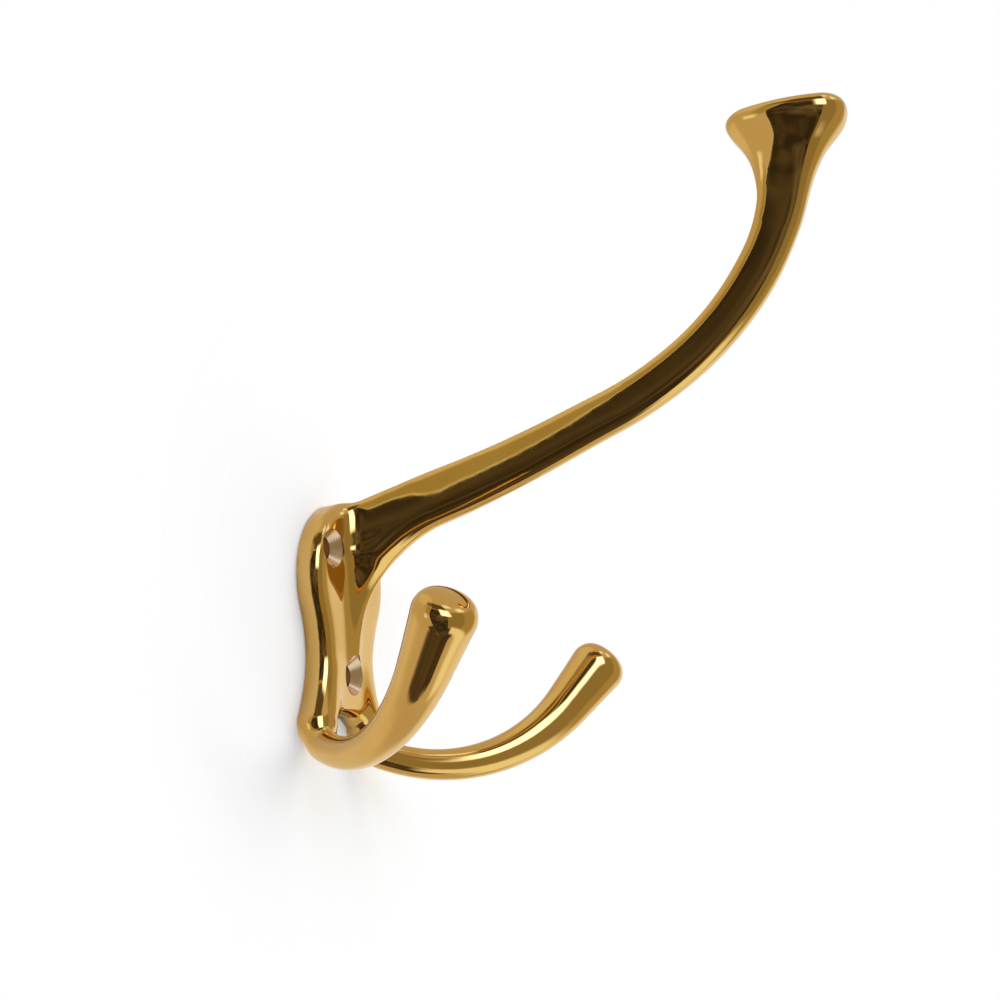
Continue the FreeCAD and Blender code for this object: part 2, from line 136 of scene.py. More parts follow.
@dataclass(frozen=True)
class WallPlate:
    """The waisted plate: an outline of arcs, carried straight back from a rounded front edge."""

    thickness: float = 6.0
    arch_radius: float = 16.6
    arch_height: float = 6.0
    waist_half_width: float = 11.8
    waist_drop: float = 13.5
    foot_drop: float = 25.5
    crotch_half_width: float = 9.4
    crotch_drop: float = 23.4
    edge_round: float = 2.2
    crown: float = 0.25            # how far the front face falls away towards the outline

    def outline(self, x: Array, z: Array) -> Array:
        """Signed distance to the outline in the front view.

        The round top and the hollow side are circles that touch on the line through their
        centres, and the arch between the legs is a circle cut away from below. Under the feet
        the legs end in half circles.

        Args:
            x: distances from the mirror plane.
            z: heights.

        Returns:
            Distances, negative inside.
        """
        x = np.abs(x)
        fall = self.arch_height + self.waist_drop
        hollow = ((self.waist_half_width ** 2 + fall ** 2 - self.arch_radius ** 2)
                  / (2.0 * (self.arch_radius - self.waist_half_width)))
        centre = self.waist_half_width + hollow
        above = np.arctan2(z - self.arch_height, x) > -math.atan2(fall, centre)
        arch = np.hypot(x, z - self.arch_height) - self.arch_radius
        flank = hollow - np.hypot(x - centre, z + self.waist_drop)
        rise = self.foot_drop - self.crotch_drop
        inner = (self.crotch_half_width ** 2 + rise ** 2) / (2.0 * rise)
        crotch = inner - np.hypot(x, z + self.crotch_drop + inner)
        leg_fall = self.foot_drop - self.waist_drop
        foot = centre - math.sqrt(hollow ** 2 - leg_fall ** 2)
        middle, half = (foot + self.crotch_half_width) / 2.0, (foot - self.crotch_half_width) / 2.0
        leg = np.hypot(x - middle, z + self.foot_drop) - half
        return np.where(z > -self.foot_drop, np.maximum(np.where(above, arch, flank), crotch), leg)

    def distance(self, points: Array) -> Array:
        """Signed distance to the plate, which runs on behind the wall until it is trimmed there."""
        edge = self.outline(points[:, 0], points[:, 2])
        depth = np.clip(-edge / self.arch_radius, 0.0, 1.0)
        front = -points[:, 1] - self.thickness + self.crown * (1.0 - depth) ** 2
        return rounded_edge(edge, front, self.edge_round)


@dataclass(frozen=True)
class HatArm:
    """The long arm: a flat-sided profile carried along a straight run, a bend and a neck.

    Along the axis, s is the way from the plate's front and n the offset in the mirror plane,
    positive on the upper side.
    """

    plate_front: float = 6.0
    root_height: float = 15.0
    pitch: float = math.radians(20.5)
    straight: float = 63.9
    bend_radius: float = 64.0
    bend_turn: float = math.radians(56.0)
    neck_radius: float = 78.0
    half_depth: Taper = Taper(     # from the axis to the upper and the under side
        (0.0, 19.5, 41.7, 63.9, 106.0, 119.0, 126.5, 131.5, 135.5, 138.5, 140.5, 142.5, 144.5),
        (5.9, 5.9, 5.25, 4.6, 4.5, 4.75, 5.5, 6.9, 8.9, 11.1, 12.35, 12.85, 12.7))
    half_width: Taper = Taper(     # from the mirror plane to each flank
        (-12.0, 0.0, 7.0, 13.0, 19.0, 26.0, 106.0, 119.0, 126.5, 131.5, 135.5, 138.5, 140.5, 142.5, 144.5),
        (5.9, 4.75, 4.15, 3.65, 3.25, 3.05, 3.0, 3.15, 3.6, 4.45, 5.6, 7.0, 7.85, 8.2, 8.0))
    upper_corner: Taper = Taper(   # round of the two upper edges
        (0.0, 20.0, 108.0, 122.0, 128.0, 135.5, 144.5),
        (1.4, 0.8, 0.8, 0.9, 1.5, 3.2, 4.6))
    under_corner: Taper = Taper(   # round of the two edges of the underside
        (0.0, 10.0, 22.0, 36.0, 119.0, 126.5, 135.5, 144.5),
        (4.5, 3.6, 2.8, 2.5, 2.5, 2.6, 3.4, 4.6))
    crown: Taper = Taper(          # how far a flank falls away at its edges
        (0.0, 52.0, 64.0, 119.0, 126.5, 131.5, 135.5, 139.0, 144.5),
        (0.25, 0.25, 0.10, 0.10, 0.20, 0.65, 1.5, 2.3, 2.8))
    shift: Taper = Taper(          # how far the hand-made bar strays from the drawn axis
        (4.0, 14.0, 21.0, 28.0, 49.0, 56.0, 63.0, 77.0, 91.0, 105.0, 115.0, 122.0, 131.0, 137.0, 144.5),
        (0.9, 0.55, 0.28, -0.1, -0.2, 0.1, 0.35, 0.5, 0.1, -0.3, -0.5, -0.35, 0.7, 1.3, 0.8))
    rim_round: float = 2.2
    head_tilt: float = math.radians(2.6)
    rib_centre: tuple[float, float] = (37.3, -12.3)    # of the hollow under the root: way out and height
    rib_radius: float = 31.0
    rib_width: Taper = Taper((-11.0, -5.0, 0.0, 5.0, 10.0, 14.0), (0.5, 1.1, 1.9, 2.8, 4.2, 9.0))
    rib_blend: float = 0.8
    nose: Taper = Taper((3.0, 11.0), (1.0, 0.0))    # how far the rib's section is fully round, by height

    def bend_centre(self) -> tuple[float, float]:
        """Way out and height of the bend's centre, square to the end of the straight run."""
        f = self.plate_front + self.straight * math.cos(self.pitch) - self.bend_radius * math.sin(self.pitch)
        z = self.root_height + self.straight * math.sin(self.pitch) + self.bend_radius * math.cos(self.pitch)
        return f, z

    def neck_centre(self) -> tuple[float, float]:
        """Way out and height of the neck's centre, on the line from the bend's end through its centre."""
        turned = self.pitch + self.bend_turn
        wider = self.neck_radius - self.bend_radius
        f, z = self.bend_centre()
        return f - wider * math.sin(turned), z + wider * math.cos(turned)

    def along(self, f: Array, z: Array) -> tuple[Array, Array]:
        """Place points of the mirror plane on the axis.

        The axis is a line, a circular bend and a wider circular neck that ends upright, each
        touching the one before. A point belongs to the piece that it lies square to.

        Args:
            f: distances out from the wall.
            z: heights.

        Returns:
            The way along the axis and the offset from it.
        """
        turned = self.pitch + self.bend_turn
        out, up = f - self.plate_front, z - self.root_height
        line = (out * math.cos(self.pitch) + up * math.sin(self.pitch),
                up * math.cos(self.pitch) - out * math.sin(self.pitch))
        bend_f, bend_z = self.bend_centre()
        bend_heading = np.arctan2(f - bend_f, bend_z - z)
        bend = (self.straight + self.bend_radius * (bend_heading - self.pitch),
                self.bend_radius - np.hypot(f - bend_f, z - bend_z))
        neck_start = self.straight + self.bend_radius * self.bend_turn
        neck_f, neck_z = self.neck_centre()
        neck_heading = np.arctan2(f - neck_f, neck_z - z)
        neck = (neck_start + self.neck_radius * (neck_heading - turned),
                self.neck_radius - np.hypot(f - neck_f, z - neck_z))
        rest = math.pi / 2.0 - turned
        upright = (neck_start + self.neck_radius * rest + z - neck_z, neck_f + self.neck_radius - f)
        cases = [bend_heading < self.pitch, bend_heading < turned, neck_heading < math.pi / 2.0]
        return tuple(np.select(cases, [line[i], bend[i], neck[i]], upright[i]) for i in range(2))

    def head_middle(self) -> tuple[float, float]:
        """Way out and height of the axis where the neck ends upright, in the head's top."""
        f, z = self.neck_centre()
        return f + self.neck_radius, z

    def distance(self, points: Array) -> Array:
        """Signed distance to the arm with its rib and its head.

        Square to the axis the profile is a rectangle with round corners, whose flanks fall away
        towards their edges with the square of the offset. Below the root the rib fills the corner
        to the plate outside a large circle that touches the bar's underside, and it narrows
        downwards and gets a round nose. The head's flat top rises a little towards the front and
        has a rounded edge.

        Args:
            points: places, one a row.

        Returns:
            Distances, negative inside.
        """
        f, z = -points[:, 1], points[:, 2]
        s, n = self.along(f, z)
        half = self.half_depth(s)
        offset = n - self.shift(s)
        silhouette = np.abs(offset) - half
        rib_f, rib_z = self.rib_centre
        hollow = self.rib_radius - np.hypot(f - rib_f, z - rib_z)
        past = (f - rib_f) * math.cos(self.pitch) + (z - rib_z) * math.sin(self.pitch)
        rib = np.max([hollow, n, past, rib_z - z], axis=0)
        width = smooth_union(self.half_width(s), self.rib_width(z), self.rib_blend)
        corner = np.where(offset > 0.0, self.upper_corner(s), self.under_corner(s))
        corner = np.minimum(corner, width)
        corner = corner + (width - corner) * self.nose(z)
        crown = self.crown(s) * np.clip(offset / half, -1.0, 1.0) ** 2
        flank = np.abs(points[:, 0]) - width + crown
        bar = rounded_edge(flank, np.minimum(silhouette, rib), corner)
        top_f, top_z = self.head_middle()
        top = (z - top_z) * math.cos(self.head_tilt) - (f - top_f) * math.sin(self.head_tilt)
        return rounded_edge(bar, top, self.rim_round)


@dataclass(frozen=True)
class Prong:
    """A lower prong: a round bar, down out of the plate's leg, round a heel and up a long sweep."""

    side: Side
    out: float = 12.5              # the heel's start: aside, in front of the wall, and its height
    depth: float = 3.4
    foot_height: float = -26.9
    spread: float = math.radians(39.6)    # turn of the prong's plane away from straight ahead
    heel_radius: float = 4.7
    heel_turn: float = math.radians(71.0)
    sweep_radius: float = 42.4
    sweep_turn: float = math.radians(68.0)
    tip_run: float = 15.6
    root_radius: float = 3.35
    tip_radius: float = 7.05
    dome_radius: float = 13.0      # the end's shallow dome and the round of its edge
    dome_round: float = 2.6
    start: tuple[float, float, float] = (8.4, 2.6, -15.0)    # upper end of the cone inside the leg
    start_radius: float = 1.4

    def swell(self, s: Array) -> Array:
        """Radius along the sweep and the tip: it grows with the square of the way."""
        share = np.clip(s / (self.sweep_radius * self.sweep_turn + self.tip_run), 0.0, 1.0)
        return self.root_radius + (self.tip_radius - self.root_radius) * share ** 2

    def distance(self, points: Array) -> Array:
        """Signed distance to the prong.

        In the prong's own upright plane the axis is a heel arc, a wide sweep arc and a straight
        tip, each touching the one before. The nearest place on each piece is its angle or way,
        held within its ends, and the distance is that to the place less the radius there. The tip
        ends in a shallow dome, part of a large sphere, with a rounded edge. A cone of two spheres
        leads down through the plate's leg.

        Args:
            points: places, one a row.

        Returns:
            Distances, negative inside.
        """
        x, f, z = points[:, 0] * self.side.value, -points[:, 1], points[:, 2]
        reach = (x - self.out) * math.sin(self.spread) + (f - self.depth) * math.cos(self.spread)
        aside = (x - self.out) * math.cos(self.spread) - (f - self.depth) * math.sin(self.spread)

        turn = np.clip(np.arctan2(self.foot_height - z, self.heel_radius - reach), 0.0, self.heel_turn)
        heel_reach = self.heel_radius * (1.0 - np.cos(turn))
        heel_z = self.foot_height - self.heel_radius * np.sin(turn)
        heel = np.sqrt((reach - heel_reach) ** 2 + (z - heel_z) ** 2 + aside ** 2) - self.root_radius

        first = self.heel_turn - math.pi / 2.0
        last = first + self.sweep_turn
        centre_reach = (self.heel_radius * (1.0 - math.cos(self.heel_turn))
                        - self.sweep_radius * math.sin(first))
        centre_z = (self.foot_height - self.heel_radius * math.sin(self.heel_turn)
                    + self.sweep_radius * math.cos(first))
        heading = np.clip(np.arctan2(reach - centre_reach, centre_z - z), first, last)
        sweep_reach = centre_reach + self.sweep_radius * np.sin(heading)
        sweep_z = centre_z - self.sweep_radius * np.cos(heading)
        sweep = (np.sqrt((reach - sweep_reach) ** 2 + (z - sweep_z) ** 2 + aside ** 2)
                 - self.swell(self.sweep_radius * (heading - first)))

        tip_reach = centre_reach + self.sweep_radius * math.sin(last)
        tip_z = centre_z - self.sweep_radius * math.cos(last)
        ahead = (reach - tip_reach) * math.cos(last) + (z - tip_z) * math.sin(last)
        off = np.hypot((z - tip_z) * math.cos(last) - (reach - tip_reach) * math.sin(last), aside)
        wall = (np.hypot(off, np.minimum(ahead, 0.0))
                - self.swell(self.sweep_radius * self.sweep_turn + np.maximum(ahead, 0.0)))
        dome = np.hypot(off, ahead - self.tip_run + self.dome_radius) - self.dome_radius
        dome = np.where(ahead > self.tip_run - self.dome_radius, dome, -self.dome_radius)
        tip = rounded_edge(wall, dome, self.dome_round)

        high = np.array(self.start)
        low = np.array([self.out, self.depth, self.foot_height])
        way = low - high
        local = np.stack([x, f, z], axis=1) - high
        share = np.clip(local @ way / (way @ way), 0.0, 1.0)
        leg = (np.linalg.norm(local - share[:, None] * way, axis=1)
               - self.start_radius - (self.root_radius - self.start_radius) * share)
        return np.min([heel, sweep, tip, leg], axis=0)


@dataclass(frozen=True)
class ScrewHole:
    """A countersunk screw hole square to the wall."""

    x: float
    z: float
    radius: float = 2.4
    sink_radius: float = 4.5
    front: float = 6.0             # the plate's front in front of the wall
    clearance: float = 9.0         # how far the tool runs on in front of the plate
    behind: float = 3.0            # and behind the wall
    steps: int = 96
    margin: float = 1.0            # round the countersink, in the search for the hole's faces

    def profile(self) -> Array:
        """Radius and y of the tool's outline, from its back end to its front end."""
        deep = -self.front + self.sink_radius - self.radius
        far = -self.front - self.clearance
        return np.array([(self.radius, self.behind), (self.radius, deep),
                         (self.sink_radius, -self.front), (self.sink_radius, far)])

    def tool(self, start: int) -> tuple[Array, list[tuple[int, ...]]]:
        """The tool that cuts the hole: its outline turned about the hole's axis.

        A point at angle t is (x + r cos t, y, z + r sin t) for each radius r and depth y of the outline.

        Args:
            start: number of the tool's first vertex.

        Returns:
            Vertices in millimetres and faces as vertex numbers.
        """
        radius, y = self.profile().T
        t = np.linspace(0.0, 2.0 * math.pi, self.steps, endpoint=False)
        ring = np.stack([self.x + radius[:, None] * np.cos(t), np.repeat(y[:, None], self.steps, axis=1),
                         self.z + radius[:, None] * np.sin(t)], axis=2)
        rows = len(radius)
        number = start + np.arange(rows * self.steps).reshape(rows, self.steps)
        beside = np.roll(number, -1, axis=1)
        walls = np.stack([number[:-1], beside[:-1], beside[1:], number[1:]], axis=2).reshape(-1, 4)
        caps = [tuple(number[0, ::-1].tolist()), tuple(number[-1].tolist())]
        return ring.reshape(-1, 3), [tuple(face) for face in walls.tolist()] + caps

    def normals(self, points: Array, middles: Array) -> tuple[Array, Array]:
        """Normals of the hole's wall and cone at the corners of its faces.

        The wall's normal points straight at the axis, and the cone's half at the axis and half forward.

        Args:
            points: corners in millimetres.
            middles: middle of each corner's face.

        Returns:
            A mask of the corners that belong to this hole, and normals for all of them.
        """
        inward = np.stack([self.x - points[:, 0], np.zeros(len(points)), self.z - points[:, 2]], axis=1)
        away = np.maximum(np.linalg.norm(inward, axis=1), 1e-9)
        inward /= away[:, None]
        deep = -self.front + self.sink_radius - self.radius
        cone = (middles[:, 1] < deep) & (middles[:, 1] > -self.front)
        normals = np.where(cone[:, None], (inward + (0.0, -1.0, 0.0)) / math.sqrt(2.0), inward)
        near = np.hypot(middles[:, 0] - self.x, middles[:, 2] - self.z) < self.sink_radius + self.margin
        return near, normals


@dataclass(frozen=True)
class LevelSkin:
    """The skin of a solid that is given by its signed distance, as a mesh of small quads.

    The distance is worked out on a lattice. Each cell of it that the skin passes through gets one
    vertex, each lattice edge that crosses the skin joins the four cells round it into a quad, and
    the vertices are then moved down the distance's slope onto the skin itself.
    """

    distance: Callable[[Array], Array]
    low: tuple[float, float, float]
    high: tuple[float, float, float]
    pitch: float = 0.45            # millimetres between the lattice's planes
    block: int = 4                 # lattice cells along a block that is tested at once
    chunk: int = 200_000           # points measured at a time
    probe: float = 0.01
    first_rounds: int = 5          # rounds of settling, of evening out, and of settling again
    even_rounds: int = 4
    last_rounds: int = 3

    def measure(self, points: Array) -> Array:
        """Distances of many points, a part of them at a time to spare memory."""
        parts = [self.distance(points[i:i + self.chunk]) for i in range(0, len(points), self.chunk)]
        return np.concatenate(parts) if parts else np.zeros(0)

    def slope(self, points: Array) -> Array:
        """Gradient of the distance, by differences across a short probe along each axis."""
        steps = np.eye(3) * self.probe
        return np.stack([self.measure(points + step) - self.measure(points - step) for step in steps],
                        axis=1) / (2.0 * self.probe)

    def settle(self, points: Array, rounds: int) -> Array:
        """Move points onto the skin along the slope, by Newton's rule, at most a pitch each round."""
        for _ in range(rounds):
            slope = self.slope(points)
            length = np.maximum((slope ** 2).sum(axis=1), 1e-3)
            move = np.clip(self.measure(points) / np.sqrt(length), -self.pitch, self.pitch)
            points = points - slope * (move / np.sqrt(length))[:, None]
        return points

    def lattice(self) -> Array:
        """Distances on the lattice, exact in the blocks near the skin and rough elsewhere."""
        low, high = np.array(self.low), np.array(self.high)
        blocks = np.ceil((high - low) / (self.pitch * self.block)).astype(int)
        size = self.pitch * self.block
        index = np.indices(blocks).reshape(3, -1).T
        middle = low + (index + 0.5) * size
        rough = self.measure(middle)
        values = rough.reshape(blocks).astype(np.float32)
        for axis in range(3):
            values = np.repeat(values, self.block, axis=axis)
        near = index[np.abs(rough) < 1.5 * size]
        inner = np.indices((self.block,) * 3).reshape(3, -1).T
        nodes = (near[:, None, :] * self.block + inner[None, :, :]).reshape(-1, 3)
        values[tuple(nodes.T)] = self.measure(low + nodes * self.pitch)
        return values

    def mesh(self) -> tuple[Array, Array]:
        """Vertices and quads of the skin, before they are evened out.

        Returns:
            Vertices in millimetres, and four vertex numbers a face, seen from outside anticlockwise.
        """
        inside = self.lattice() < 0.0
        shape = np.array(inside.shape)
        quads = []
        for axis in range(3):
            second, third = (axis + 1) % 3, (axis + 2) % 3
            first = np.take(inside, range(shape[axis] - 1), axis=axis)
            after = np.take(inside, range(1, shape[axis]), axis=axis)
            edges = np.stack(np.nonzero(first != after), axis=1)
            leaving = first[tuple(edges.T)]
            keep = (edges[:, second] > 0) & (edges[:, third] > 0)
            edges, leaving = edges[keep], leaving[keep]
            round_edge = []
            for back_second, back_third in ((1, 1), (0, 1), (0, 0), (1, 0)):
                cell = edges.copy()
                cell[:, second] -= back_second
                cell[:, third] -= back_third
                round_edge.append(np.ravel_multi_index(tuple(cell.T), tuple(shape)))
            quad = np.stack(round_edge, axis=1)
            quads.append(np.where(leaving[:, None], quad, quad[:, ::-1]))
        cells, faces = np.unique(np.concatenate(quads), return_inverse=True)
        corner = np.stack(np.unravel_index(cells, tuple(shape)), axis=1)
        return np.array(self.low) + (corner + 0.5) * self.pitch, faces.reshape(-1, 4)

    def even_out(self, points: Array, faces: Array) -> Array:
        """Slide the vertices towards the middle of their neighbours, and back onto the skin each time."""
        tail, head = faces.ravel(), np.roll(faces, -1, axis=1).ravel()
        both, other = np.concatenate([tail, head]), np.concatenate([head, tail])
        count = np.maximum(np.bincount(both, minlength=len(points)), 1)
        for _ in range(self.even_rounds):
            mean = np.stack([np.bincount(both, weights=points[other, axis], minlength=len(points))
                             for axis in range(3)], axis=1) / count[:, None]
            points = self.settle(0.5 * (points + mean), 1)
        return points

    def finished(self) -> tuple[Array, Array]:
        """Vertices and quads of the skin, settled on it and evened out."""
        points, faces = self.mesh()
        points = self.even_out(self.settle(points, self.first_rounds), faces)
        return self.settle(points, self.last_rounds), faces


@dataclass
class HookCasting:
    """The whole casting: plate, arm and prongs joined with soft fillets, with three screw holes."""

    plate: WallPlate = WallPlate()
    arm: HatArm = HatArm()
    prongs: tuple[Prong, ...] = (Prong(Side.LEFT), Prong(Side.RIGHT))
    holes: tuple[ScrewHole, ...] = (ScrewHole(-10.8, 11.6), ScrewHole(10.8, 11.6), ScrewHole(0.0, -15.2))
    arm_blend: float = 4.2
    prong_blend: float = 4.6
    low: tuple[float, float, float] = (-58.0, -122.0, -40.0)    # corners of the room for the lattice
    high: tuple[float, float, float] = (58.0, 3.5, 104.0)
    polish_rounds: int = 10        # how often each normal is averaged with its neighbours'
    back_facing: float = 0.99      # least y of a back face's normal, and how near the wall it lies
    back_depth: float = 0.01
    name: str = "robe_hook"
    body: str = "root"
    node: str = "hook"
    slot: str = "brass"

    def distance(self, points: Array) -> Array:
        """Signed distance to the joined casting, before its back is trimmed and its holes are cut."""
        solid = smooth_union(self.plate.distance(points), self.arm.distance(points), self.arm_blend)
        for prong in self.prongs:
            solid = smooth_union(solid, prong.distance(points), self.prong_blend)
        return solid

    def skin(self) -> LevelSkin:
        """The lattice that the casting's skin is taken from, with room behind the wall to trim."""
        return LevelSkin(self.distance, self.low, self.high)

    def raw_mesh(self, skin: LevelSkin) -> bpy.types.Mesh:
        """The casting's skin trimmed flat at the wall, in metres and without its holes."""
        points, faces = skin.finished()
        mesh = bpy.data.meshes.new(self.name)
        mesh.from_pydata((points * MM).tolist(), [], faces.tolist())
        work = bmesh.new()
        work.from_mesh(mesh)
        everything = work.verts[:] + work.edges[:] + work.faces[:]
        cut = bmesh.ops.bisect_plane(work, geom=everything, dist=1e-7, plane_co=(0, 0, 0), plane_no=(0, 1, 0),
                                     clear_outer=True)
        rim = [item for item in cut["geom_cut"] if isinstance(item, bmesh.types.BMEdge)]
        filled = bmesh.ops.triangle_fill(work, edges=rim, use_beauty=True, normal=(0, 1, 0))
        bmesh.ops.recalc_face_normals(work, faces=work.faces[:])
        log.info("back filled with %d faces", len(filled["geom"]))
        work.to_mesh(mesh)
        work.free()
        return mesh

    def cut_holes(self, piece: bpy.types.Object, machined: bpy.types.Material) -> None:
        """Cut the screw holes out of the piece; their walls take the machined finish."""
        points: list[Array] = []
        faces: list[tuple[int, ...]] = []
        for hole in self.holes:
            new_points, new_faces = hole.tool(sum(map(len, points)))
            points.append(new_points)
            faces.extend(new_faces)
        mesh = bpy.data.meshes.new("hole_tools")
        mesh.from_pydata((np.concatenate(points) * MM).tolist(), [], faces)
        mesh.materials.append(machined)
        tools = bpy.data.objects.new("hole_tools", mesh)
        bpy.context.scene.collection.objects.link(tools)
        cutter = piece.modifiers.new("holes", "BOOLEAN")
        cutter.object = tools
        cutter.operation = "DIFFERENCE"
        cutter.solver = "EXACT"
        cutter.material_mode = "TRANSFER"
        bpy.context.view_layer.update()
        seen = piece.evaluated_get(bpy.context.evaluated_depsgraph_get())
        cut = bpy.data.meshes.new_from_object(seen)
        piece.modifiers.clear()
        old = piece.data
        piece.data = cut
        cut.name = self.name
        bpy.data.meshes.remove(old)
        bpy.data.objects.remove(tools)
        bpy.data.meshes.remove(mesh)

    def polish(self, slope: Array, corner: Array, total: Array) -> Array:
        """Even out the normals over the polished faces, as polishing does to the metal.

        In each round every vertex takes the mean of its own normal and those of its neighbours
        along the faces' edges.

        Args:
            slope: one direction for each vertex.
            corner: vertex of each corner of the polished faces, face after face.
            total: number of corners of each polished face.

        Returns:
            Unit normals for each vertex.
        """
        last = np.cumsum(total) - 1
        following = np.arange(1, len(corner) + 1)
        following[last] = last - total + 1
        tail, head = corner, corner[following]
        normals = slope / np.maximum(np.linalg.norm(slope, axis=1), 1e-9)[:, None]
        for _ in range(self.polish_rounds):
            mean = normals + np.stack([
                np.bincount(tail, weights=normals[head, axis], minlength=len(normals))
                + np.bincount(head, weights=normals[tail, axis], minlength=len(normals))
                for axis in range(3)], axis=1)
            normals = mean / np.maximum(np.linalg.norm(mean, axis=1), 1e-9)[:, None]
        return normals

    def shade(self, mesh: bpy.types.Mesh, skin: LevelSkin) -> None:
        """Give every corner of the mesh the true normal of the surface that its face belongs to.

        The casting's skin has the slope of the distance, the back the wall's direction, and the
        holes their own cones and cylinders.

        Args:
            mesh: the finished mesh, in metres.
            skin: the lattice whose slope gives the normals.
        """
        count, corners, polygons = len(mesh.vertices), len(mesh.loops), len(mesh.polygons)
        places = np.empty(count * 3)
        mesh.vertices.foreach_get("co", places)
        places = places.reshape(-1, 3) / MM
        vertex = np.empty(corners, dtype=np.int64)
        mesh.loops.foreach_get("vertex_index", vertex)
        total = np.empty(polygons, dtype=np.int64)
        mesh.polygons.foreach_get("loop_total", total)
        slot = np.empty(polygons, dtype=np.int64)
        mesh.polygons.foreach_get("material_index", slot)
        flat = np.empty(polygons * 3)
        mesh.polygons.foreach_get("normal", flat)
        middle = np.empty(polygons * 3)
        mesh.polygons.foreach_get("center", middle)
        owner = np.repeat(np.arange(polygons), total)
        flat, middle = flat.reshape(-1, 3), middle.reshape(-1, 3) / MM

        slope = self.polish(skin.slope(places), vertex[slot[owner] == Surface.POLISHED.value],
                            total[slot == Surface.POLISHED.value])
        normals = slope[vertex]
        back = (flat[:, 1] > self.back_facing) & (middle[:, 1] > -self.back_depth)
        normals[back[owner]] = (0.0, 1.0, 0.0)
        machined = slot[owner] == Surface.MACHINED.value
        for hole in self.holes:
            near, cut = hole.normals(places[vertex], middle[owner])
            chosen = near & machined
            normals[chosen] = cut[chosen]
        mesh.polygons.foreach_set("use_smooth", np.ones(polygons, dtype=bool))
        mesh.normals_split_custom_set(normals.tolist())
        mesh.update()

    def build(self, polished: bpy.types.Material, machined: bpy.types.Material) -> bpy.types.Object:
        """Make the casting, dress it and put it in the frame.

        Args:
            polished: finish of the cast and polished surfaces.
            machined: finish of the screw holes.

        Returns:
            The casting's object.
        """
        skin = self.skin()
        mesh = self.raw_mesh(skin)
        mesh.materials.append(polished)
        piece = bpy.data.objects.new(self.name, mesh)
        bpy.context.scene.collection.objects.link(piece)
        self.cut_holes(piece, machined)
        self.shade(piece.data, skin)
        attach(piece, self.body)
        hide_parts(self.node)
        return piece


class Nodes:
    """A node tree that is being wired up: adds nodes and links inputs in one call."""

    def __init__(self, tree: bpy.types.NodeTree) -> None:
        """Start on an empty tree."""
        self.tree = tree
        tree.nodes.clear()

    def add(self, kind: str, inputs: dict | None = None, **settings: object) -> bpy.types.Node:
        """Add a node.

        Args:
            kind: the node's type name.
            inputs: socket names or numbers, each with a value or the output that feeds it.
            settings: the node's own properties.

        Returns:
            The new node.
        """
        node = self.tree.nodes.new(kind)
        for key, value in settings.items():
            setattr(node, key, value)
        for key, value in (inputs or {}).items():
            if isinstance(value, bpy.types.NodeSocket):
                self.tree.links.new(value, node.inputs[key])
            else:
                node.inputs[key].default_value = value
        return node

    def math(self, operation: str, *values: object) -> bpy.types.NodeSocket:
        """A Math node on numbers or outputs; gives its result."""
        return self.add("ShaderNodeMath", dict(enumerate(values)), operation=operation).outputs[0]

    def span(self, value: object, low: float, high: float, to_low: float = 0.0,
             to_high: float = 1.0) -> bpy.types.NodeSocket:
        """Carry a value smoothly from one range to another, held at the ends."""
        node = self.add("ShaderNodeMapRange", {"Value": value, "From Min": low, "From Max": high,
                                               "To Min": to_low, "To Max": to_high},
                        interpolation_type="SMOOTHSTEP")
        return node.outputs["Result"]

    def noise(self, where: object, scale: float, detail: float, roughness: float) -> bpy.types.NodeSocket:
        """Value of a noise pattern."""
        node = self.add("ShaderNodeTexNoise", {"Vector": where, "Scale": scale, "Detail": detail,
                                               "Roughness": roughness})
        return node.outputs["Fac"]

    def mix(self, factor: object, a: object, b: object) -> bpy.types.NodeSocket:
        """Mix of two colours."""
        node = self.add("ShaderNodeMix", {0: factor, 6: a, 7: b}, data_type="RGBA")
        return node.outputs[2]


